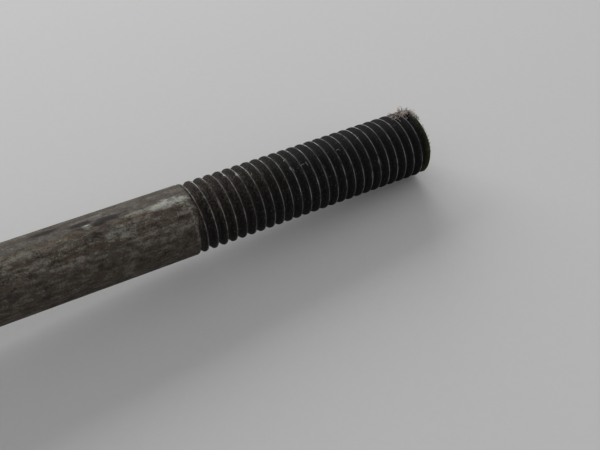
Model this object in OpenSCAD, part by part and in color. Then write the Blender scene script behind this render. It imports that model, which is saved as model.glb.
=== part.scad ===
// Spare wheel hold-down bolt: one steel bar, with a hexagon head at one end and a
// right-hand thread at the other. The bolt lies along X with its tip at +X. The origin is
// on its axis, at the head's bearing face, and one flat of the head faces down.

/* [Bar] */
// Diameter of the plain shank
shank_d = 12; // [11:0.1:16]
// Length from the head's bearing face to the tip
bolt_length = 120; // [90:1:180]
// Radius of the fillet between the head and the shank
neck_fillet = 0.8; // [0.2:0.1:2]
// Width of the bevel at the shank's end, where the thread begins
shoulder_bevel = 0.3; // [0.1:0.1:1]

/* [Thread] */
// Nominal diameter of the thread
thread_d = 12; // [10:0.5:13]
// Distance along the axis from one crest to the next
thread_pitch = 1.75; // [1.25:0.25:2.5]
// Length of the threaded end, from the shank's bevel to the tip
thread_length = 45; // [20:1:60]
// How far the finished crests lie below the nominal radius
crest_drop = 0.055; // [0:0.005:0.2]
// Turns over which the groove deepens from nothing beside the shank
runout_turns = 1; // [0.25:0.25:3]
// How far the groove's beginning reaches back under the shank's bevel
runout_lead = 0.25; // [0:0.05:0.7]
// Angle round the axis at which the groove begins, from the lowest line of the bar
thread_start = 171; // [0:1:359]
// Straight steps in one turn of the thread
thread_steps = 36; // [24:2:44]

/* [Tip] */
// Width of the chamfer round the end face
tip_chamfer = 0.25; // [0.05:0.05:1.5]

/* [Head] */
// Width of the head across its flats
head_flats = 24; // [18:0.5:30]
// Height of the head
head_height = 9; // [6:0.5:14]
// Diameter of the flat circle left on the head's outer face
head_crown_d = 22.5; // [15:0.5:26]
// Angle between the chamfered corners and the head's outer face
crown_angle = 30; // [15:1:45]

/* [Hidden] */

// Basic ISO metric form: these are shares of the pitch.
root_depth_share = 0.6134;
pitch_line_share = 0.3248;
flank_angle = 30;
hexagon_sides = 6;
fillet_steps = 6;
bar_facets = 96;

shank_r = shank_d / 2;
crest_r = thread_d / 2 - crest_drop;
root_r = thread_d / 2 - root_depth_share * thread_pitch;
pitch_line_r = thread_d / 2 - pitch_line_share * thread_pitch;
core_r = root_r / 2;
corner_r = head_flats / 2 / cos(180 / hexagon_sides);
bevel_x = bolt_length - thread_length;
skin_x = bevel_x + shoulder_bevel;
groove_x = bevel_x - runout_lead;

// Width of the groove between the flanks at radius r.
function groove_width(r) = thread_pitch / 2 + 2 * (r - pitch_line_r) * tan(flank_angle);
mouth = groove_width(crest_r) / 2;
bottom = groove_width(root_r) / 2;

// The groove winds on for a whole turn past the tip, where it lies flat on the end face.
skin_turns = ceil((bolt_length - groove_x + mouth) / thread_pitch) + 1;
skin_steps = skin_turns * thread_steps;

// Radius of the thread at distance x along the bolt and step i round it, from how far x
// is from the middle of the nearest turn of the groove, and how deep that turn is.
function thread_r(x, i) =
    let (along = (x - groove_x) / thread_pitch - i / thread_steps,
         turn = round(along),
         off = abs(along - turn) * thread_pitch,
         depth_share = min(1, max(0, (turn + i / thread_steps) / runout_turns)),
         rise = min(1, max(0, (off - bottom) / (mouth - bottom))))
    crest_r - (crest_r - root_r) * depth_share * (1 - rise);

// A point of the thread's skin. What would pass an end of the thread stops at that end.
function skin_point(x, i) =
    let (stop = min(bolt_length, max(skin_x, x)),
         chamfer_r = crest_r - tip_chamfer + bolt_length - stop,
         r = min(thread_r(stop, i), chamfer_r),
         a = thread_start + i * 360 / thread_steps)
    [r * cos(a), r * sin(a), stop];

// The groove's section at step i: crest edge, root edge, root edge, crest edge.
function groove_section(i) =
    let (x = groove_x + thread_pitch * i / thread_steps)
    [for (side = [-mouth, -bottom, bottom, mouth]) skin_point(x + side, i)];

// The groove winds round the bar as three strips, its two flanks and its floor. A fourth
// strip, the crest, joins each turn to the next. A fan closes each end.
module threaded_end() {
    n = thread_steps;
    last = skin_steps;
    points = concat([[0, 0, skin_x], [0, 0, bolt_length]],
                    [for (i = [0:n - 1]) skin_point(skin_x, i)],
                    [for (i = [0:last]) each groove_section(i)]);
    function base(i) = 2 + i % n;
    function groove(i, k) = 2 + n + 4 * i + k;
    strips = [for (i = [0:last - 1]) for (k = [0:2])
        [groove(i, k), groove(i, k + 1), groove(i + 1, k + 1), groove(i + 1, k)]];
    crest = [for (i = [0:last - n - 1])
        [groove(i, 3), groove(i + n, 0), groove(i + n + 1, 0), groove(i + 1, 3)]];
    band = [for (i = [0:n - 2]) [base(i), groove(i, 0), groove(i + 1, 0), base(i + 1)]];
    seam = [groove(n - 1, 0), groove(n, 0), groove(0, 3), groove(0, 2), groove(0, 1),
            groove(0, 0), base(0), base(n - 1)];
    base_fan = [for (i = [0:n - 1]) [0, base(i), base(i + 1)]];
    tip_fan = [for (i = [last - n:last - 1]) [1, groove(i + 1, 3), groove(i, 3)]];
    polyhedron(points = points,
               faces = concat(strips, crest, band, [seam], base_fan, tip_fan));
}

// The shank grows out of the middle of the head, through a fillet at the bearing face,
// and its core runs on into the thread.
module shank() {
    fillet = [for (i = [0:fillet_steps])
        let (a = 90 * i / fillet_steps)
        [shank_r + neck_fillet * (1 - sin(a)), neck_fillet * (1 - cos(a))]];
    rotate_extrude($fn = bar_facets) polygon(concat(
        [[0, -head_height / 2], [shank_r + neck_fillet, -head_height / 2]],
        fillet,
        [[shank_r, bevel_x], [shank_r - shoulder_bevel, skin_x],
         [core_r, skin_x], [core_r, skin_x + thread_pitch], [0, skin_x + thread_pitch]]));
}

// A hexagon with its corners turned off to a shallow cone on the outer face.
module head() {
    crown_drop = (corner_r - head_crown_d / 2) * tan(crown_angle);
    translate([0, 0, -head_height]) intersection() {
        rotate([0, 0, 180 / hexagon_sides])
            cylinder(r = corner_r, h = head_height, $fn = hexagon_sides);
        rotate_extrude($fn = bar_facets) polygon([
            [0, 0],
            [head_crown_d / 2, 0],
            [corner_r, crown_drop],
            [corner_r, head_height],
            [0, head_height]]);
    }
}

module hold_down_bolt() {
    color("#4d4843") rotate([0, 90, 0]) {
        head();
        shank();
        threaded_end();
    }
}

hold_down_bolt();
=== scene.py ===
"""The spare wheel hold-down bolt in its finish of mill scale, oily thread and lint, lying on
a pale floor. The bolt runs along X, with its head's bearing face at the origin."""

import math
import random

import bmesh
import bpy
from bpy.props import FloatProperty, FloatVectorProperty, IntProperty, PointerProperty
from mathutils import Matrix, Vector, noise


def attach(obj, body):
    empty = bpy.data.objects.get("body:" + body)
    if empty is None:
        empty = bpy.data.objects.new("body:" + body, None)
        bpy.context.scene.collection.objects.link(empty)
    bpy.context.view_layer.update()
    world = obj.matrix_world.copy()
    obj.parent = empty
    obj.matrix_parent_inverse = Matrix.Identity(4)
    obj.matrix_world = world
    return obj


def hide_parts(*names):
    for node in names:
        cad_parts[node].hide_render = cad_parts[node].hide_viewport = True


bl_info = {
    "name": "Spare Wheel Hold-Down Bolt",
    "version": (1, 0, 0),
    "blender": (4, 5, 0),
    "location": "3D View > Sidebar > Bolt",
    "description": "Builds a worn hold-down bolt, the lint on its tip and its stage",
    "category": "Add Mesh",
}

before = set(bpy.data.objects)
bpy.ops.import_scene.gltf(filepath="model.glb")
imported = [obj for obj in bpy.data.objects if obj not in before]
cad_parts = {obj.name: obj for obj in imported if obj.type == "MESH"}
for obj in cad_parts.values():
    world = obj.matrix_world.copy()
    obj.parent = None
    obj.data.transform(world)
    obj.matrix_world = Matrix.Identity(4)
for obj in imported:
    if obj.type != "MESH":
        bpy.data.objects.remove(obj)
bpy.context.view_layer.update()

CAD_NODE = "hold_down_bolt"
MM = 0.001
CORNERS = 6
FULL_TURN = 2 * math.pi
CROWN_ANGLE = math.radians(30)
# Shell of the crest that wears bright, and how far down the flank a bruise reaches, in mm.
CREST_SKIN = 0.012
BRUISE_DEPTH = 0.14
# Direction of the camera's right and down, its place in metres, and half of the floor in mm.
CAMERA_RIGHT = Vector((0.864317, -0.501035, 0.043819))
CAMERA_DOWN = Vector((-0.319393, -0.614092, -0.721719))
CAMERA_PLACE = Vector((0.0319724, -0.1021175, 0.1047620))
FLOOR_HALF = 5000
# The window lamp: width and height in metres, height above the floor, distance and aim.
LAMP_SIZE = (1.22, 0.50)
LAMP_ELEVATION = math.radians(23)
LAMP_DISTANCE = 0.9
LAMP_AIM = Vector((0.09, 0, 0))


# ------------------------------------------------------------------ settings


class BoltSizes(bpy.types.PropertyGroup):
    """Sizes of the bolt, in millimetres unless a unit says otherwise"""

    shank_d: FloatProperty(name="Shank diameter", description="Plain bar, mm", default=12.0)
    bolt_length: FloatProperty(
        name="Length", description="Bearing face to tip, mm", default=120.0
    )
    neck_fillet: FloatProperty(
        name="Neck fillet", description="Radius between head and shank, mm", default=0.8
    )
    thread_pitch: FloatProperty(
        name="Pitch", description="Crest to crest, mm", default=1.75
    )
    thread_length: FloatProperty(
        name="Thread length", description="Shoulder to tip, mm", default=45.0
    )
    crest_d: FloatProperty(
        name="Crest diameter", description="Over the crests, mm", default=11.89
    )
    root_d: FloatProperty(
        name="Root diameter", description="At the floor of the groove, mm", default=9.8531
    )
    crest_flat: FloatProperty(
        name="Crest flat", description="Width of the worn crest, mm", default=0.282
    )
    root_flat: FloatProperty(
        name="Root flat", description="Width of the groove's floor, mm", default=0.292
    )
    thread_start: FloatProperty(
        name="Thread start",
        description="Where the groove begins, from the lowest line of the bar",
        default=math.radians(171),
        subtype="ANGLE",
        unit="ROTATION",
    )
    runout_lead: FloatProperty(
        name="Run-out lead", description="Groove's reach back under the bevel, mm", default=0.25
    )
    tip_chamfer: FloatProperty(
        name="Tip chamfer", description="Bevel round the end face, mm", default=0.25
    )
    head_flats: FloatProperty(
        name="Across flats", description="Width of the head, mm", default=24.0
    )
    head_height: FloatProperty(
        name="Head height", description="Height of the head, mm", default=9.0
    )
    head_crown_d: FloatProperty(
        name="Crown diameter", description="Flat circle on the head, mm", default=22.5
    )
    head_edge: FloatProperty(
        name="Head edges", description="Rounding of the head's edges, mm", default=0.25
    )
    fibre_d: FloatProperty(
        name="Fibre", description="Thickness of the lint's fibres, mm", default=0.055
    )
    mat_fibres: IntProperty(
        name="Fibres", description="How many fibres the mat at the tip has", default=170
    )
    steps: IntProperty(
        name="Steps", description="Segments in one turn of the bar", default=144
    )


def colour(label, text, value):
    """A colour setting, in linear light."""
    return FloatVectorProperty(
        name=label, description=text, default=value, subtype="COLOR", size=3, min=0, max=1
    )


class BoltColours(bpy.types.PropertyGroup):
    """Colours of the steel, its stains and the lint"""

    # Dark scale is also the colour of the painted shade under the bar and the head.
    scale_dark_and_shade: colour("Dark scale", "Brown-black mill scale", (0.019, 0.0145, 0.0115))
    scale_mid: colour("Grey-brown scale", "Usual tone of the bar", (0.078, 0.065, 0.051))
    scale_light: colour("Light scale", "Scale worn thin", (0.18, 0.164, 0.141))
    scale_brown: colour("Brown scale", "Warm patches of the bar", (0.05, 0.034, 0.023))
    scale_green: colour("Green cast", "Cool grey-green patches", (0.060, 0.064, 0.052))
    # The rubbed strip's colour is partly a painted reflection along the top of the bar.
    rubbed_sheen: colour("Rubbed strip", "Smooth strip along the top of the bar", (0.055, 0.051, 0.045))
    ochre: colour("Ochre seam", "Ragged line under the strip", (0.118, 0.100, 0.070))
    # Bright steel also paints the highlight on the shoulder's rim.
    bright_steel_and_glint: colour("Bright steel", "Bare metal", (0.330, 0.335, 0.300))
    rust: colour("Rust", "Red-brown specks", (0.098, 0.062, 0.045))
    stain: colour("Stain", "Oil and soot", (0.010, 0.008, 0.008))
    thread_dark: colour("Oily flank", "Flanks of the thread", (0.0078, 0.0072, 0.0075))
    # The brown flank colour also carries painted light, stronger on the upper flanks.
    thread_brown_and_top_light: colour("Brown flank", "First turns of the thread", (0.06, 0.047, 0.036))
    crest: colour("Worn crest", "Crests of the thread", (0.23, 0.226, 0.218))
    tip_green: colour("Tip residue", "Olive film at the tip", (0.04, 0.045, 0.013))
    lint: colour("Lint", "Pale fibres on the tip", (0.42, 0.382, 0.348))
    # Pink lint is partly a painted glow of the backlit loops.
    lint_pink_and_glow: colour("Pink lint", "Fibres of the loop", (0.55, 0.43, 0.39))
    lint_dark: colour("Dark lint", "Sooty fibres", (0.13, 0.115, 0.105))
    lint_olive: colour("Olive lint", "Fibres soaked at the rim", (0.085, 0.088, 0.04))


class BoltStage(bpy.types.PropertyGroup):
    """Floor, lamp and camera"""

    paper: colour("Floor", "Plain pale paper", (0.498, 0.498, 0.498))
    lamp_power: FloatProperty(
        name="Lamp", description="Power of the window lamp", default=9.5, unit="POWER"
    )
    sky: FloatProperty(name="Sky", description="Strength of the even light", default=0.585)
    lens: FloatProperty(
        name="Lens", description="Focal length on a 36 mm sensor, mm", default=55.602
    )


# ------------------------------------------------------------------ the bar


def bar_angle(point):
    """Angle of a point round the bar, from its lowest line towards +Y."""
    return math.atan2(point.y, -point.z) % FULL_TURN


def set_radius(vert, radius):
    """Moves a vertex straight in or out to that radius."""
    now = math.hypot(vert.co.y, vert.co.z)
    if now > 1e-9:
        vert.co.y *= radius / now
        vert.co.z *= radius / now


def on_bar(x, angle, radius=6.0):
    """The point at distance x and angle degrees from +Y, towards +Z, in millimetres."""
    a = math.radians(angle)
    return (x, radius * math.cos(a), radius * math.sin(a))


def polyline(bm, points):
    """A chain of vertices through (x, r) points below the axis. Returns verts and edges."""
    verts = [bm.verts.new((x, 0, -r)) for x, r in points]
    edges = [bm.edges.new(pair) for pair in zip(verts, verts[1:])]
    return verts + edges


def head_and_shank(s, join_x):
    """The head, neck and plain shank as one revolved shell, open at the join."""
    bm = bmesh.new()
    shank_r = s.shank_d / 2
    half_flats = s.head_flats / 2
    profile = [(-s.head_height, 0), (-s.head_height, s.head_crown_d / 4)]
    profile += [(-s.head_height, s.head_crown_d / 2)]
    crown_row, rim_row = len(profile), len(profile) + 1
    profile += [(-s.head_height * 0.9, half_flats), (0, half_flats)]
    profile += [(0, shank_r + s.neck_fillet)]
    for k in range(1, 7):
        a = math.radians(15 * k)
        profile.append(
            (s.neck_fillet * (1 - math.cos(a)), shank_r + s.neck_fillet * (1 - math.sin(a)))
        )
    rings = 110
    first, last = s.neck_fillet, join_x - JOIN_GAP
    profile += [(first + (last - first) * k / rings, shank_r) for k in range(1, rings + 1)]
    layer = bm.verts.layers.int.new("row")
    geom = polyline(bm, profile)
    for i, v in enumerate(geom[: len(profile)]):
        v[layer] = i
    bmesh.ops.spin(
        bm,
        geom=geom,
        cent=(0, 0, 0),
        axis=(1, 0, 0),
        dvec=(0, 0, 0),
        angle=FULL_TURN,
        steps=s.steps,
        use_merge=True,
        use_duplicate=False,
    )
    bmesh.ops.remove_doubles(bm, verts=bm.verts[:], dist=0.005)
    corner = FULL_TURN / CORNERS
    for v in bm.verts:
        if v[layer] in (crown_row, rim_row):
            off = (bar_angle(v.co) + corner / 2) % corner - corner / 2
            radius = half_flats / math.cos(off)
            set_radius(v, radius)
            if v[layer] == crown_row:
                drop = (radius - s.head_crown_d / 2) * math.tan(CROWN_ANGLE)
                v.co.x = -s.head_height + drop
    bmesh.ops.recalc_face_normals(bm, faces=bm.faces[:])
    sharp = [
        e
        for e in bm.edges
        if e.is_manifold
        and max(v.co.x for v in e.verts) < 0.01
        and min(math.hypot(v.co.y, v.co.z) for v in e.verts) > s.head_crown_d / 2 - 0.1
        and e.calc_face_angle(0) > math.radians(20)
    ]
    bmesh.ops.bevel(
        bm,
        geom=sharp,
        offset=s.head_edge,
        offset_type="OFFSET",
        affect="EDGES",
        segments=3,
        profile=0.5,
        material=-1,
        clamp_overlap=True,
    )
    return bm


# Dents in the crests: distance along the bar, angle from its lowest line, depth and reach.
CREST_NICKS = [
    (79.35, 219.5, 0.16, 0.55),
    (82.25, 166.0, 0.18, 0.60),
    (93.45, 180.0, 0.12, 0.45),
    (93.55, 205.0, 0.14, 0.50),
    (96.55, 214.0, 0.10, 0.45),
    (100.85, 196.0, 0.08, 0.40),
    (108.55, 228.0, 0.12, 0.70),
    (111.95, 240.0, 0.10, 0.60),
    (88.25, 60.0, 0.14, 0.60),
    (103.65, 20.0, 0.12, 0.50),
    (114.65, 110.0, 0.14, 0.60),
]


# Rubbed spots that widen the worn line of a crest: distance, angle as above, and reach.
BRUISES = [
    (79.30, 218, 0.75),
    (82.27, 167, 0.45),
    (107.50, 257, 0.60),
    (109.12, 239, 0.40),
    (93.20, 200, 0.45),
    (77.40, 199, 0.40),
    (113.30, 212, 0.40),
    (84.20, 178, 0.35),
    (90.10, 75, 0.70),
    (101.40, 330, 0.60),
]


def groove_profile(s):
    """One pitch of the thread, from the middle of a groove to the middle of the next."""
    crest_r, root_r = s.crest_d / 2, s.root_d / 2
    bottom = s.root_flat / 2
    mouth = (s.thread_pitch - s.crest_flat) / 2
    slope = (crest_r - root_r) / (mouth - bottom)
    half = [(0, root_r), (bottom * 0.62, root_r + 0.012)]
    half += [(x, root_r + (x - bottom) * slope) for x in (0.2, 0.33, 0.47, 0.6)]
    half += [(mouth - 0.035, crest_r - 0.068), (mouth + 0.012, crest_r - 0.012)]
    middle = (s.thread_pitch / 2, crest_r)
    back = [(s.thread_pitch - x, r) for x, r in reversed(half)]
    return half + [middle] + back


# How the first turn of the groove opens out of the bar: share of the turn, then depth in mm.
RUNOUT_DEPTH = [(-1.0, 0.0), (0.05, 0.02), (0.19, 0.30), (0.33, 0.45), (1.0, 1.073)]
# Where the machined end starts: share of the turn, then distance past the shoulder in mm.
CUT_EDGE = [(0.0, 0.40), (0.12, 0.55), (0.2, -0.12), (0.33, -0.12), (0.6, -0.08), (1.0, 0.40)]
SHOULDER_BACK = 0.2
SHOULDER_SLOPE = 0.45
SHOULDER_DROP = 0.4
JOIN_BACK = 1.6
JOIN_GAP = 0.25


def between(table, value):
    """The table's second column at that value of its first, along straight lines."""
    for (low, start), (high, end) in zip(table, table[1:]):
        if value <= high:
            share = max(0.0, value - low) / (high - low)
            return start + (end - start) * share
    return table[-1][1]


def turns_in(s, x, angle):
    """How many turns of the groove lie before a point, from where the groove begins."""
    share = ((angle - s.thread_start) % FULL_TURN) / FULL_TURN
    groove_x = s.bolt_length - s.thread_length - s.runout_lead
    return round((x - groove_x) / s.thread_pitch - share) + share, groove_x


def thread_radius(s, x, angle, full_r):
    """Radius at a point whose full thread form is full_r, with the run-out at the shoulder."""
    turns, groove_x = turns_in(s, x, angle)
    if turns >= 1:
        return full_r
    shoulder = s.bolt_length - s.thread_length - SHOULDER_BACK
    stock = s.shank_d / 2 - min(SHOULDER_DROP, SHOULDER_SLOPE * max(0.0, x - shoulder))
    if turns > 0:
        off = max(0.0, abs(x - groove_x - turns * s.thread_pitch) - s.root_flat / 2)
        cut = s.shank_d / 2 - between(RUNOUT_DEPTH, turns) + (1 + 0.73 * turns) * off
        stock = min(stock, cut)
    return max(stock, full_r)


def thread_shell(s, join_x, wear):
    """The threaded end as one helical shell, open at the join."""
    bm = bmesh.new()
    layer = bm.verts.layers.float.new(wear)
    groove_x = s.bolt_length - s.thread_length - s.runout_lead
    crest_r, root_r = s.crest_d / 2, s.root_d / 2
    turns_before = 3
    first_x = groove_x - turns_before * s.thread_pitch
    geom = polyline(bm, [(first_x + x, r) for x, r in groove_profile(s)])
    bmesh.ops.rotate(
        bm,
        verts=[v for v in geom if isinstance(v, bmesh.types.BMVert)],
        cent=(0, 0, 0),
        matrix=Matrix.Rotation(s.thread_start, 3, "X"),
    )
    bmesh.ops.spin(
        bm,
        geom=geom,
        cent=(0, 0, 0),
        axis=(1, 0, 0),
        dvec=(s.thread_pitch / s.steps, 0, 0),
        angle=FULL_TURN,
        steps=s.steps,
        use_merge=False,
        use_duplicate=False,
    )
    one_turn = bm.verts[:] + bm.edges[:] + bm.faces[:]
    turns = math.ceil((s.bolt_length - first_x) / s.thread_pitch) + 1
    for turn in range(1, turns):
        copy = bmesh.ops.duplicate(bm, geom=one_turn)["geom"]
        bmesh.ops.translate(
            bm,
            verts=[v for v in copy if isinstance(v, bmesh.types.BMVert)],
            vec=(turn * s.thread_pitch, 0, 0),
        )
    bmesh.ops.remove_doubles(bm, verts=bm.verts[:], dist=0.004)

    chamfer_x = s.bolt_length - s.tip_chamfer
    for x, inner, outer in (
        (join_x, True, False),
        (chamfer_x, False, False),
        (s.bolt_length, False, True),
    ):
        bmesh.ops.bisect_plane(
            bm,
            geom=bm.verts[:] + bm.edges[:] + bm.faces[:],
            dist=1e-5,
            plane_co=(x, 0, 0),
            plane_no=(1, 0, 0),
            clear_inner=inner,
            clear_outer=outer,
        )

    for v in bm.verts:
        x, angle = v.co.x, bar_angle(v.co)
        full_r = math.hypot(v.co.y, v.co.z)
        turns, _ = turns_in(s, x, angle)
        r = thread_radius(s, x, angle, full_r)
        if r <= full_r + 0.01:
            v[layer] = max(0.0, 1 - (crest_r - full_r) / CREST_SKIN)
        for spot_x, spot_angle, reach in BRUISES:
            if abs(x - spot_x) < 2 * reach and full_r > crest_r - BRUISE_DEPTH:
                turned = (angle - math.radians(spot_angle) + math.pi) % FULL_TURN
                far = math.hypot(x - spot_x, (turned - math.pi) * r) / reach
                v[layer] = min(1.0, v[layer] + 0.9 * math.exp(-far * far))
        for nick_x, nick_angle, depth, reach in CREST_NICKS:
            if abs(x - nick_x) < 2 * reach:
                turned = (angle - math.radians(nick_angle) + math.pi) % FULL_TURN
                far = math.hypot(x - nick_x, (turned - math.pi) * r) / reach
                r -= depth * math.exp(-far * far) * max(0, (r - root_r) / (crest_r - root_r))
        limit = crest_r - s.tip_chamfer + s.bolt_length - x
        if x > chamfer_x + 1e-4 and r > limit:
            r = limit
        set_radius(v, r)
    tip = [
        e for e in bm.edges if e.is_boundary and all(v.co.x > s.bolt_length - 1e-3 for v in e.verts)
    ]
    bmesh.ops.holes_fill(bm, edges=tip, sides=0)
    bmesh.ops.recalc_face_normals(bm, faces=bm.faces[:])
    shoulder = s.bolt_length - s.thread_length
    for face in bm.faces:
        centre = face.calc_center_median()
        share = ((bar_angle(centre) - s.thread_start) % FULL_TURN) / FULL_TURN
        if centre.x > shoulder + between(CUT_EDGE, share):
            face.material_index = 1
    return bm


def roughen(bm, s):
    """Small dents and pits of hot-rolled bar, over all that lies past the neck."""
    for v in bm.verts:
        x, y, z = v.co
        if 1.0 < x < s.bolt_length - 0.05:
            fade = min(1.0, (x - 1.0) / 2)
            plain = 1.0 if x < s.bolt_length - s.thread_length - 0.3 else 0.0
            dent = noise.noise(Vector((x * 0.12, y * 0.5, z * 0.5)))
            grit = noise.noise(Vector((x * 0.9, y * 1.6, z * 1.6)))
            fine = noise.noise(Vector((x * 1.6, y * 2.4, z * 2.4)))
            move = plain * (0.014 * dent + 0.008 * grit - 0.016) + 0.010 * fine - 0.004
            set_radius(v, math.hypot(y, z) + fade * move)


def join_shells(first, second):
    """Adds the second shell to the first, and frees the second."""
    spare = bpy.data.meshes.new("spare")
    second.to_mesh(spare)
    second.free()
    first.from_mesh(spare)
    bpy.data.meshes.remove(spare)


def finish_piece(name, bm, materials):
    """Turns a shell in millimetres into an object in metres that sits at the origin."""
    bmesh.ops.scale(bm, vec=(MM, MM, MM), verts=bm.verts[:])
    mesh = bpy.data.meshes.new(name)
    bm.to_mesh(mesh)
    bm.free()
    piece = bpy.data.objects.new(name, mesh)
    bpy.context.scene.collection.objects.link(piece)
    for material in materials:
        mesh.materials.append(material)
    return piece


# ------------------------------------------------------------------ lint

# Fibres with a place of their own: points of distance, degrees from +Y and radius.
LINT_LOOPS = [
    [(118.30, 60, 5.85), (118.28, 60, 6.30), (118.30, 60, 6.66), (118.55, 59, 6.92),
     (118.98, 59, 6.95), (119.24, 60, 6.66), (119.27, 60, 6.25), (119.20, 60, 5.80)],
    [(118.15, 62, 5.80), (118.45, 61, 6.20), (118.42, 60, 6.55), (118.62, 60, 6.76),
     (118.78, 60, 6.45), (118.55, 61, 6.05), (118.80, 63, 5.70)],
    [(118.60, 60, 5.80), (118.22, 60, 6.15), (118.36, 59, 6.62), (118.58, 59, 6.35),
     (118.30, 61, 5.90)],
    [(118.10, 63, 5.75), (118.26, 61, 6.10), (118.62, 60, 6.30), (118.74, 60, 6.62),
     (118.40, 60, 6.72), (118.22, 61, 6.42), (118.50, 62, 6.00)],
    [(119.20, 60, 5.90), (119.28, 60, 6.30), (119.18, 59, 6.60), (119.02, 59, 6.30),
     (119.12, 61, 5.90)],
    [(119.62, 75, 5.90), (119.58, 74, 6.20), (119.70, 74, 6.38), (119.86, 75, 6.24),
     (119.80, 76, 5.95)],
    [(119.50, 73, 5.90), (119.66, 73, 6.15), (119.60, 74, 6.33), (119.48, 75, 6.10)],
    [(120.10, 74, 5.85), (120.42, 74, 6.05), (120.55, 75, 6.16), (120.70, 77, 6.02)],
    [(115.90, 62, 5.90), (116.00, 61, 6.35), (116.35, 60, 6.50), (116.60, 59, 6.20),
     (116.95, 60, 5.95)],
]
# Single fibres on the crests further back: distance and degrees from +Y.
STRAYS = [
    (93.4, 90), (93.5, 113), (95.8, 111), (96.1, 109), (102.3, 107), (86.3, 100),
    (107.5, 96), (114.2, 88), (99.0, 130),
]


def fibre_path(rng, x, angle, radius, length, lift):
    """A curling walk over the bar, in millimetres, that rises by lift at its middle."""
    heading = rng.uniform(0, FULL_TURN)
    curl = rng.uniform(-1.8, 1.8)
    steps = max(5, round(length / 0.14))
    around = math.radians(angle)
    points = []
    for k in range(steps + 1):
        r = radius + lift * math.sin(math.pi * k / steps) + rng.uniform(-0.02, 0.02)
        points.append((x, r * math.cos(around), r * math.sin(around)))
        heading += curl * length / steps + rng.gauss(0, 0.28)
        x += length / steps * math.cos(heading)
        around += length / steps * math.sin(heading) / r
    return points


def lint_paths(s):
    """Every fibre as a thickness and its points: loops, mat, tuft at the corner, strays."""
    rng = random.Random(11)
    paths = [(1.5, [on_bar(x, angle, r) for x, angle, r in loop]) for loop in LINT_LOOPS]
    tip = s.bolt_length
    for _ in range(s.mat_fibres):
        x, angle = rng.uniform(tip - 3.4, tip - 0.1), rng.uniform(50, 78)
        length, lift = rng.uniform(0.4, 1.5), rng.uniform(0, 0.12)
        path = fibre_path(rng, x, angle, rng.uniform(5.4, 5.98), length, lift)
        paths.append((0.9, path))
    for _ in range(s.mat_fibres):
        angle = rng.uniform(68, 99)
        x = tip + rng.uniform(-0.6, 0.22)
        path = fibre_path(rng, x, angle, rng.uniform(5.5, 5.99), rng.uniform(0.25, 0.6), 0.04)
        paths.append((1, [(min(px, tip + 0.38), py, pz) for px, py, pz in path]))
    for _ in range(s.mat_fibres // 6):
        x, angle = rng.uniform(tip - 2.0, tip - 1.2), rng.uniform(57, 64)
        path = fibre_path(rng, x, angle, rng.uniform(5.8, 6.25), rng.uniform(0.25, 0.5), 0.12)
        paths.append((1.4, path))
    for _ in range(s.mat_fibres):
        back, angle = rng.uniform(0.0, 1.7), rng.uniform(58, 78)
        radius = rng.uniform(5.8, 5.98 + 0.42 * max(0.0, 1 - back / 0.95))
        path = fibre_path(rng, tip - back, angle, radius, rng.uniform(0.25, 0.7), 0.1)
        paths.append((1, [(min(px, tip + 0.3), py, pz) for px, py, pz in path]))
    for _ in range(s.mat_fibres // 5):
        x, angle = tip + rng.uniform(-0.5, 0.0), rng.uniform(88, 165)
        path = fibre_path(rng, x, angle, 5.84, rng.uniform(0.3, 0.6), rng.uniform(0, 0.05))
        paths.append((1, [(min(px, tip + 0.1), py, pz) for px, py, pz in path]))
    for x, angle in STRAYS:
        paths.append((1, fibre_path(rng, x, angle, 5.96, rng.uniform(0.5, 0.9), 0.05)))
    return paths


def fibre_mesh(name, paths, diameter):
    """Closed tubes along the paths, as one mesh in metres."""
    curve = bpy.data.curves.new(name, "CURVE")
    curve.dimensions = "3D"
    curve.bevel_depth = diameter / 2 * MM
    curve.bevel_resolution = 0
    curve.use_fill_caps = True
    curve.resolution_u = 1
    for thickness, path in paths:
        spline = curve.splines.new("NURBS")
        spline.points.add(len(path) - 1)
        for point, place in zip(spline.points, path):
            point.co = (*(k * MM for k in place), 1)
            point.radius = thickness
        spline.use_endpoint_u = True
        spline.order_u = 3
    holder = bpy.data.objects.new(name, curve)
    mesh = bpy.data.meshes.new_from_object(holder)
    bpy.data.objects.remove(holder)
    bpy.data.curves.remove(curve)
    bm = bmesh.new()
    bm.from_mesh(mesh)
    bpy.data.meshes.remove(mesh)
    bmesh.ops.remove_doubles(bm, verts=bm.verts[:], dist=1e-8)
    bmesh.ops.recalc_face_normals(bm, faces=bm.faces[:])
    bmesh.ops.scale(bm, vec=(1 / MM, 1 / MM, 1 / MM), verts=bm.verts[:])
    return bm


# ------------------------------------------------------------------ finishes


def add_node(tree, kind, inputs=None, **settings):
    """A node with its settings, and its sockets linked or given a value."""
    node = tree.nodes.new(kind)
    for name, value in settings.items():
        setattr(node, name, value)
    for name, value in (inputs or {}).items():
        socket = node.inputs[name]
        if isinstance(value, bpy.types.NodeSocket):
            tree.links.new(value, socket)
        else:
            socket.default_value = value
    return node


def blend(tree, share, first, second):
    """A colour that goes from the first to the second as share goes from 0 to 1."""
    node = add_node(tree, "ShaderNodeMix", data_type="RGBA")
    for index, value in ((0, share), (6, first), (7, second)):
        if isinstance(value, bpy.types.NodeSocket):
            tree.links.new(value, node.inputs[index])
        elif index == 0:
            node.inputs[index].default_value = value
        else:
            node.inputs[index].default_value = (*value, 1)
    return node.outputs[2]


def number(tree, operation, *values, clamp=False):
    """The result of a Math node."""
    node = add_node(tree, "ShaderNodeMath", operation=operation, use_clamp=clamp)
    for socket, value in zip(node.inputs, values):
        if isinstance(value, bpy.types.NodeSocket):
            tree.links.new(value, socket)
        else:
            socket.default_value = value
    return node.outputs[0]


def swing(tree, value, gain):
    """Noise made to swing either side of zero, times gain."""
    return number(tree, "MULTIPLY", number(tree, "SUBTRACT", value, 0.5), gain)


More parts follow.
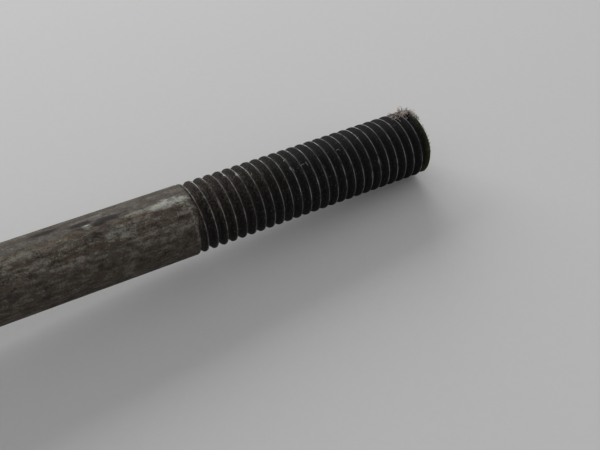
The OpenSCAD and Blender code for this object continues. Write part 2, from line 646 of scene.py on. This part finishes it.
def ramp(tree, value, low, high, to_low=0.0, to_high=1.0):
    """A value carried smoothly from one range to another, and held at its ends."""
    return add_node(
        tree,
        "ShaderNodeMapRange",
        {"Value": value, "From Min": low, "From Max": high, "To Min": to_low, "To Max": to_high},
        interpolation_type="SMOOTHSTEP",
    ).outputs["Result"]


def object_place(tree, stretch=(1, 1, 1)):
    """Object coordinates in millimetres, with each axis multiplied by stretch."""
    place = add_node(tree, "ShaderNodeTexCoord").outputs["Object"]
    scale = tuple(k / MM for k in stretch)
    return add_node(
        tree, "ShaderNodeMapping", {"Vector": place, "Scale": scale}
    ).outputs["Vector"]


def grain(tree, place, scale, detail=4.0, roughness=0.6, distortion=0.0):
    """Noise at that many features a millimetre of the stretched place."""
    return add_node(
        tree,
        "ShaderNodeTexNoise",
        {
            "Vector": place,
            "Scale": scale,
            "Detail": detail,
            "Roughness": roughness,
            "Distortion": distortion,
        },
    ).outputs["Fac"]


def smudge(tree, place, ragged, centre, reach, edge=0.35):
    """A mark round a point, as a share from 0 outside to 1 inside, with a ragged edge."""
    off = add_node(
        tree, "ShaderNodeVectorMath", {0: place, 1: centre}, operation="SUBTRACT"
    ).outputs["Vector"]
    near = add_node(
        tree, "ShaderNodeVectorMath", {0: off, 1: reach}, operation="DIVIDE"
    ).outputs["Vector"]
    far = add_node(tree, "ShaderNodeVectorMath", {0: near}, operation="LENGTH").outputs["Value"]
    far = number(tree, "ADD", far, swing(tree, ragged, 1.6))
    return ramp(tree, far, 1 + edge, 1 - edge)


def new_finish(name):
    """An empty node material, with its tree and its shader."""
    material = bpy.data.materials.new(name)
    material.use_nodes = True
    tree = material.node_tree
    tree.nodes.clear()
    shader = add_node(tree, "ShaderNodeBsdfPrincipled")
    output = add_node(tree, "ShaderNodeOutputMaterial")
    tree.links.new(shader.outputs["BSDF"], output.inputs["Surface"])
    return material, tree, shader


# Marks on the shank: kind, place (distance, degrees from +Y), reach in mm and strength.
SHANK_MARKS = [
    ("rust", (56.8, 101), (1.6, 0.7, 0.7), 0.5),
    ("rust", (51.6, 107), (1.6, 0.9, 0.9), 0.5),
    ("rust", (60.4, 102), (1.6, 0.5, 0.5), 0.4),
    ("rust", (66.5, 104), (3.5, 0.6, 0.6), 0.4),
    ("stain", (61.9, 90), (1.9, 0.60, 0.60), 1.0),
    ("stain", (60.3, 93.5), (1.0, 0.45, 0.45), 1.0),
    ("stain", (57.9, 84), (1.9, 0.48, 0.48), 1.0),
    ("stain", (52.6, 75), (2.1, 0.55, 0.55), 0.95),
    ("stain", (58.4, 158.8), (0.5, 0.5, 0.5), 0.7),
    ("stain", (44.9, 158), (0.9, 0.8, 0.8), 0.7),
    ("clean", (72.0, 99), (3.6, 0.85, 0.85), 0.85),
    ("clean", (66.6, 97.5), (2.6, 0.42, 0.42), 0.45),
    ("clean", (58.6, 93), (0.75, 0.42, 0.42), 1.0),
    ("clean", (62.6, 118), (1.9, 1.0, 1.0), 0.34),
    ("clean", (48.5, 107), (4.0, 0.6, 0.6), 0.2),
]


def scale_finish(c):
    """Mill scale and patina on the shank and the head, with painted shade towards the bottom, a
    painted reflection along the top strip and a painted highlight on the shoulder's rim.
    """
    material, tree, shader = new_finish("mill_scale")
    place = object_place(tree)
    axes = add_node(tree, "ShaderNodeSeparateXYZ", {"Vector": place}).outputs
    around = number(tree, "ARCTAN2", axes["Z"], axes["Y"])
    around = number(tree, "MULTIPLY", around, math.degrees(1))
    fine = grain(tree, place, 3.6, 6, 0.75)
    blots = grain(tree, object_place(tree, (0.55, 1, 1)), 1.0, 6, 0.68, 0.5)
    streaks = grain(tree, object_place(tree, (0.09, 1, 1)), 1.7, 5, 0.62)
    scratches = grain(tree, object_place(tree, (0.05, 1, 1)), 5.5, 2, 0.5)
    patches = grain(tree, object_place(tree, (0.5, 1, 1)), 0.36, 4, 0.6, 0.3)
    ragged = grain(tree, object_place(tree, (0.4, 1, 1)), 1.5, 5, 0.7)

    on_shank = ramp(tree, axes["X"], 0.2, 1.4)
    drawn = swing(tree, streaks, 0.28)
    tone = number(tree, "MULTIPLY", blots, 0.40)
    for part, share in ((fine, 0.42), (patches, 0.22), (drawn, on_shank)):
        tone = number(tree, "ADD", tone, number(tree, "MULTIPLY", part, share))
    tone = number(tree, "SUBTRACT", tone, 0.015)
    skin = blend(tree, ramp(tree, tone, 0.42, 0.51), c.scale_dark_and_shade, c.scale_mid)
    skin = blend(tree, ramp(tree, tone, 0.51, 0.59), skin, c.scale_light)
    brown = number(tree, "MULTIPLY", ramp(tree, patches, 0.47, 0.60), ramp(tree, blots, 0.60, 0.40))
    skin = blend(tree, number(tree, "MULTIPLY", brown, 0.7), skin, c.scale_brown)
    cast = grain(tree, object_place(tree, (0.6, 1, 1)), 1.2, 5, 0.7)
    skin = blend(tree, ramp(tree, cast, 0.46, 0.36, 0, 0.45), skin, c.scale_green)
    skin = blend(tree, ramp(tree, cast, 0.54, 0.64, 0, 0.45), skin, c.rust)

    # Smooth strip along the top of the bar: partly rubbed scale, partly a painted reflection of the
    # window, whose ragged lower edge near 96 degrees marks where that reflection ends.
    edge = number(tree, "ADD", around, swing(tree, ragged, 46))
    rubbed_sheen_band = number(tree, "MULTIPLY", ramp(tree, edge, 99, 94), ramp(tree, around, 35, 55))
    rubbed_sheen_band = number(tree, "MULTIPLY", rubbed_sheen_band, on_shank)
    smooth = blend(tree, ramp(tree, streaks, 0.38, 0.60), c.scale_mid, c.rubbed_sheen)
    smooth = blend(tree, ramp(tree, scratches, 0.53, 0.64, 0, 0.75), smooth, c.scale_dark_and_shade)
    skin = blend(tree, number(tree, "MULTIPLY", rubbed_sheen_band, 0.58), skin, smooth)
    seam = number(tree, "MULTIPLY", ramp(tree, edge, 92, 98), ramp(tree, edge, 108, 101))
    seam = number(tree, "MULTIPLY", seam, ramp(tree, blots, 0.42, 0.56))
    skin = blend(tree, number(tree, "MULTIPLY", seam, 0.55), skin, c.ochre)

    speckle = ramp(tree, fine, 0.43, 0.57, 0.1, 1)
    rust = grain(tree, object_place(tree, (0.45, 1, 1)), 0.7, 4, 0.6)
    rust = ramp(tree, rust, 0.62, 0.70, 0, 0.5)
    stain = grain(tree, object_place(tree, (0.16, 1, 1)), 0.6, 3, 0.55)
    stain = ramp(tree, stain, 0.66, 0.74, 0, 0.7)
    clean = 0.0
    for mark, centre, reach, share in SHANK_MARKS:
        spot = smudge(tree, place, ragged, on_bar(*centre), reach)
        spot = number(tree, "MULTIPLY", spot, share)
        if mark == "rust":
            rust = number(tree, "MAXIMUM", rust, spot)
        elif mark == "stain":
            stain = number(tree, "MAXIMUM", stain, spot)
        else:
            clean = number(tree, "MAXIMUM", clean, spot)
    rust = number(tree, "MULTIPLY", rust, speckle)
    skin = blend(tree, rust, skin, c.rust)
    # The shoulder's rim: a worn bevel with a painted highlight, kept to 96 to 104 degrees where the
    # lamp catches it.
    rim = number(tree, "ADD", axes["X"], number(tree, "MULTIPLY", ragged, 0.5))
    rim = number(tree, "ABSOLUTE", number(tree, "SUBTRACT", rim, 74.78))
    rim = number(tree, "MULTIPLY", ramp(tree, rim, 0.34, 0.08), ramp(tree, around, 96, 104))
    rim = number(tree, "MULTIPLY", rim, ramp(tree, fine, 0.42, 0.58, 0.0, 0.42))
    clean = number(tree, "MULTIPLY", clean, ramp(tree, tone, 0.40, 0.54, 0.1, 1))
    skin = blend(tree, number(tree, "MAXIMUM", clean, rim), skin, c.bright_steel_and_glint)
    turned = number(tree, "ABSOLUTE", number(tree, "SUBTRACT", axes["X"], 52.75))
    turned = ramp(tree, turned, 0.16, 0.04)
    turned = number(tree, "MULTIPLY", turned, ramp(tree, around, 108, 116, 0, 0.6))
    stain = number(tree, "MAXIMUM", stain, number(tree, "MULTIPLY", turned, speckle))
    skin = blend(tree, number(tree, "MULTIPLY", stain, 0.93), skin, c.stain)
    # Painted shade: the bar and the head are darkened towards their bottom, where less light
    # reaches.
    painted_shade_below = ramp(tree, axes["Z"], 5.3, 2.2, 0, 0.42)
    skin = blend(tree, painted_shade_below, skin, c.scale_dark_and_shade)
    tree.links.new(skin, shader.inputs["Base Color"])

    gloss = number(tree, "MAXIMUM", ramp(tree, around, 66, 90, 0.28, 1), ramp(tree, around, 35, 0))
    metal = number(tree, "MULTIPLY", ramp(tree, tone, 0.42, 0.62, 0.0, 0.25), gloss)
    metal = number(tree, "MAXIMUM", metal, clean)
    tree.links.new(metal, shader.inputs["Metallic"])
    rough = ramp(tree, tone, 0.40, 0.62, 0.80, 0.62)
    rough = number(tree, "SUBTRACT", rough, number(tree, "MULTIPLY", clean, 0.1))
    tree.links.new(rough, shader.inputs["Roughness"])
    tree.links.new(number(tree, "MULTIPLY", gloss, 0.2), shader.inputs["Specular IOR Level"])
    height = number(tree, "ADD", number(tree, "MULTIPLY", fine, 0.6), blots)
    height = number(tree, "SUBTRACT", height, number(tree, "MULTIPLY", scratches, 0.4))
    bump = add_node(
        tree, "ShaderNodeBump", {"Height": height, "Strength": 0.6, "Distance": 0.00009}
    )
    tree.links.new(bump.outputs["Normal"], shader.inputs["Normal"])
    return material


def thread_finish(c, wear):
    """Black, oily flanks with worn crests, brown beside the shank and olive round the tip; the
    brown is painted stronger towards the top as painted light.
    """
    material, tree, shader = new_finish("oily_thread")
    place = object_place(tree)
    axes = add_node(tree, "ShaderNodeSeparateXYZ", {"Vector": place}).outputs
    distance = axes["X"]
    grit = grain(tree, place, 3.4, 6, 0.75)
    patches = grain(tree, place, 0.55, 5, 0.7)
    worn = add_node(tree, "ShaderNodeAttribute", attribute_name=wear).outputs["Fac"]
    worn = ramp(tree, number(tree, "ADD", worn, swing(tree, patches, 2.2)), 0.40, 0.90)

    early = number(tree, "ADD", distance, swing(tree, patches, 16))
    # Painted light: the brown of the first turns, and the lighter crests it brings, grow stronger
    # towards the top of the thread and weaker underneath.
    painted_top_light = ramp(tree, axes["Z"], 1.5, 5.2, 0.2, 1)
    brown = number(tree, "MULTIPLY", ramp(tree, early, 96, 76), painted_top_light)
    mottle = ramp(tree, grain(tree, place, 1.5, 5, 0.7), 0.42, 0.60, 0.15, 1)
    mottle = number(tree, "MULTIPLY", mottle, ramp(tree, grit, 0.38, 0.56))
    flank = blend(tree, number(tree, "MULTIPLY", brown, mottle), c.thread_dark, c.thread_brown_and_top_light)
    fading = ramp(tree, early, 118, 80, 0.25, 0.6)
    dust = number(tree, "MULTIPLY", ramp(tree, grit, 0.56, 0.66), fading)
    flank = blend(tree, dust, flank, c.scale_light)
    reach = number(tree, "ADD", distance, number(tree, "MULTIPLY", patches, 1.1))
    specks = ramp(tree, grit, 0.40, 0.56, 0.4, 1)
    tip = number(tree, "MULTIPLY", ramp(tree, reach, 119.7, 120.3), specks)
    off_axis = add_node(
        tree, "ShaderNodeVectorMath", {0: place, 1: (0, 1, 1)}, operation="MULTIPLY"
    ).outputs["Vector"]
    off_axis = add_node(
        tree, "ShaderNodeVectorMath", {0: off_axis}, operation="LENGTH"
    ).outputs["Value"]
    off_axis = number(tree, "ADD", off_axis, number(tree, "MULTIPLY", patches, 1.6))
    tip = number(tree, "MULTIPLY", tip, ramp(tree, off_axis, 4.2, 6.2, 0.25, 1))
    flank = blend(tree, tip, flank, c.tip_green)
    worn = number(tree, "MULTIPLY", worn, ramp(tree, distance, 119.3, 118.9))
    bright = ramp(tree, grain(tree, place, 0.24, 3, 0.6), 0.40, 0.62, 0.45, 1)
    metal = blend(tree, number(tree, "MULTIPLY", brown, 0.5), c.crest, c.scale_light)
    metal = blend(tree, bright, c.scale_dark_and_shade, metal)
    skin = blend(tree, worn, flank, metal)
    tree.links.new(skin, shader.inputs["Base Color"])
    tree.links.new(ramp(tree, worn, 0, 1, 0.0, 0.9), shader.inputs["Metallic"])
    tree.links.new(ramp(tree, worn, 0, 1, 0.75, 0.58), shader.inputs["Roughness"])
    shader.inputs["Specular IOR Level"].default_value = 0.16
    bump = add_node(
        tree, "ShaderNodeBump", {"Height": grit, "Strength": 0.4, "Distance": 0.00006}
    )
    tree.links.new(bump.outputs["Normal"], shader.inputs["Normal"])
    return material


def lint_finish(c):
    """Dull fibres: most pinkish, some sooty, olive along the rim, and a painted glow on the upright
    loops.
    """
    material, tree, shader = new_finish("lint_fibre")
    place = object_place(tree)
    tint = grain(tree, place, 1.6, 3, 0.6)
    skin = blend(tree, ramp(tree, tint, 0.50, 0.64, 0, 0.8), c.lint, c.lint_dark)
    soaked = ramp(tree, grain(tree, place, 1.1, 2, 0.5), 0.54, 0.66, 0, 0.6)
    skin = blend(tree, soaked, skin, c.lint_olive)
    axes = add_node(tree, "ShaderNodeSeparateXYZ", {"Vector": place}).outputs
    rim = number(tree, "MULTIPLY", ramp(tree, axes["Y"], 0.2, -0.8), 0.9)
    skin = blend(tree, rim, skin, c.lint_olive)
    # The upright loops over the top take the paler pink: partly their own tint, partly a painted
    # glow of fibres lit from behind.
    upright = ramp(tree, axes["Z"], 5.2, 5.6)
    upright = number(tree, "MULTIPLY", upright, ramp(tree, axes["X"], 119.0, 118.6))
    skin = blend(tree, number(tree, "MULTIPLY", upright, 0.6), skin, c.lint_pink_and_glow)
    tree.links.new(skin, shader.inputs["Base Color"])
    shader.inputs["Roughness"].default_value = 0.9
    shader.inputs["Specular IOR Level"].default_value = 0.1
    return material


# ------------------------------------------------------------------ operators


class BOLT_OT_bar(bpy.types.Operator):
    """Makes the bolt: hexagon head, plain shank and threaded end in one closed shell"""

    bl_idname = "bolt.bar"
    bl_label = "Bolt"

    def execute(self, context):
        s, c = context.scene.bolt_sizes, context.scene.bolt_colours
        wear = "crest_wear"
        join_x = s.bolt_length - s.thread_length - JOIN_BACK
        shank = head_and_shank(s, join_x)
        thread = thread_shell(s, join_x, wear)
        join_shells(shank, thread)
        bmesh.ops.bridge_loops(shank, edges=[e for e in shank.edges if e.is_boundary])
        roughen(shank, s)
        bmesh.ops.recalc_face_normals(shank, faces=shank.faces[:])
        loose = [e for e in shank.edges if not e.is_manifold]
        if loose:
            raise RuntimeError(f"the bolt's shell is open at {len(loose)} edges")
        bolt = finish_piece("bolt_bar", shank, [scale_finish(c), thread_finish(c, wear)])
        bolt.data.shade_smooth()
        bolt.data.set_sharp_from_angle(angle=math.radians(38))
        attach(bolt, "root")
        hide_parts(CAD_NODE)
        return {"FINISHED"}


class BOLT_OT_lint(bpy.types.Operator):
    """Makes the lint: a mat of fibres over the last turns, upright loops and a few strays"""

    bl_idname = "bolt.lint"
    bl_label = "Lint"

    def execute(self, context):
        s, c = context.scene.bolt_sizes, context.scene.bolt_colours
        bm = fibre_mesh("lint", lint_paths(s), s.fibre_d)
        lint = finish_piece("lint", bm, [lint_finish(c)])
        lint.data.shade_smooth()
        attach(lint, "root")
        return {"FINISHED"}


class BOLT_OT_stage(bpy.types.Operator):
    """Makes the floor under the bolt, the window lamp, the even light and the camera"""

    bl_idname = "bolt.stage"
    bl_label = "Stage"

    def execute(self, context):
        s, stage = context.scene.bolt_sizes, context.scene.bolt_stage
        rest_x = s.bolt_length - s.tip_chamfer
        slope = math.atan2(s.head_flats / 2 - s.crest_d / 2, rest_x)
        bm = bmesh.new()
        bmesh.ops.create_grid(bm, x_segments=8, y_segments=8, size=FLOOR_HALF)
        bmesh.ops.rotate(
            bm, verts=bm.verts[:], cent=(0, 0, 0), matrix=Matrix.Rotation(-slope, 3, "Y")
        )
        bmesh.ops.translate(bm, verts=bm.verts[:], vec=(0, 0, -s.head_flats / 2 - 0.02))
        material, tree, shader = new_finish("pale_paper")
        fibre = grain(tree, object_place(tree), 0.9, 4, 0.6)
        darker = tuple(k * 0.985 for k in stage.paper)
        paper = blend(tree, ramp(tree, fibre, 0.3, 0.7), stage.paper, darker)
        tree.links.new(paper, shader.inputs["Base Color"])
        shader.inputs["Roughness"].default_value = 0.85
        floor = finish_piece("floor", bm, [material])

        up = Matrix.Rotation(-slope, 3, "Y") @ Vector((0, 0, 1))
        lamp_data = bpy.data.lights.new("window_lamp", "AREA")
        lamp_data.shape = "RECTANGLE"
        lamp_data.size, lamp_data.size_y = LAMP_SIZE
        lamp_data.energy = stage.lamp_power
        lamp = bpy.data.objects.new("window_lamp", lamp_data)
        towards = Vector((-0.03, math.cos(LAMP_ELEVATION), 0)) + up * math.sin(LAMP_ELEVATION)
        lamp.location = LAMP_AIM + towards.normalized() * LAMP_DISTANCE
        lamp.rotation_mode = "QUATERNION"
        lamp.rotation_quaternion = (LAMP_AIM - lamp.location).to_track_quat("-Z", "Y")
        context.scene.collection.objects.link(lamp)

        world = bpy.data.worlds.new("even_light")
        world.use_nodes = True
        background = world.node_tree.nodes["Background"]
        background.inputs["Color"].default_value = (1, 1, 1, 1)
        background.inputs["Strength"].default_value = stage.sky
        context.scene.world = world

        camera_data = bpy.data.cameras.new("camera")
        camera_data.sensor_width = 36
        camera_data.lens = stage.lens
        camera_data.clip_start = 0.005
        camera = bpy.data.objects.new("camera", camera_data)
        ahead = CAMERA_RIGHT.cross(CAMERA_DOWN)
        columns = (CAMERA_RIGHT, -CAMERA_DOWN, -ahead, CAMERA_PLACE)
        camera.matrix_world = Matrix([(*row,) for row in zip(*columns)] + [(0, 0, 0, 1)])
        context.scene.collection.objects.link(camera)
        context.scene.camera = camera
        context.scene.view_settings.view_transform = "Standard"
        return {"FINISHED"}


class BOLT_PT_panel(bpy.types.Panel):
    """Lists the bolt's operators and settings"""

    bl_idname = "BOLT_PT_panel"
    bl_label = "Hold-Down Bolt"
    bl_space_type = "VIEW_3D"
    bl_region_type = "UI"
    bl_category = "Bolt"

    def draw(self, context):
        for kind in OPERATORS:
            self.layout.operator(kind.bl_idname)
        for setting in GROUPS:
            group = getattr(context.scene, setting)
            box = self.layout.box()
            for name in group.__annotations__:
                box.prop(group, name)


OPERATORS = (BOLT_OT_bar, BOLT_OT_lint, BOLT_OT_stage)
GROUPS = {"bolt_sizes": BoltSizes, "bolt_colours": BoltColours, "bolt_stage": BoltStage}
CLASSES = (*GROUPS.values(), *OPERATORS, BOLT_PT_panel)


def register():
    for kind in CLASSES:
        bpy.utils.register_class(kind)
    for name, group in GROUPS.items():
        setattr(bpy.types.Scene, name, PointerProperty(type=group))


def unregister():
    for name in GROUPS:
        delattr(bpy.types.Scene, name)
    for kind in reversed(CLASSES):
        bpy.utils.unregister_class(kind)


def main():
    register()
    bpy.ops.bolt.bar()
    bpy.ops.bolt.lint()
    bpy.ops.bolt.stage()


if __name__ == "__main__":
    main()
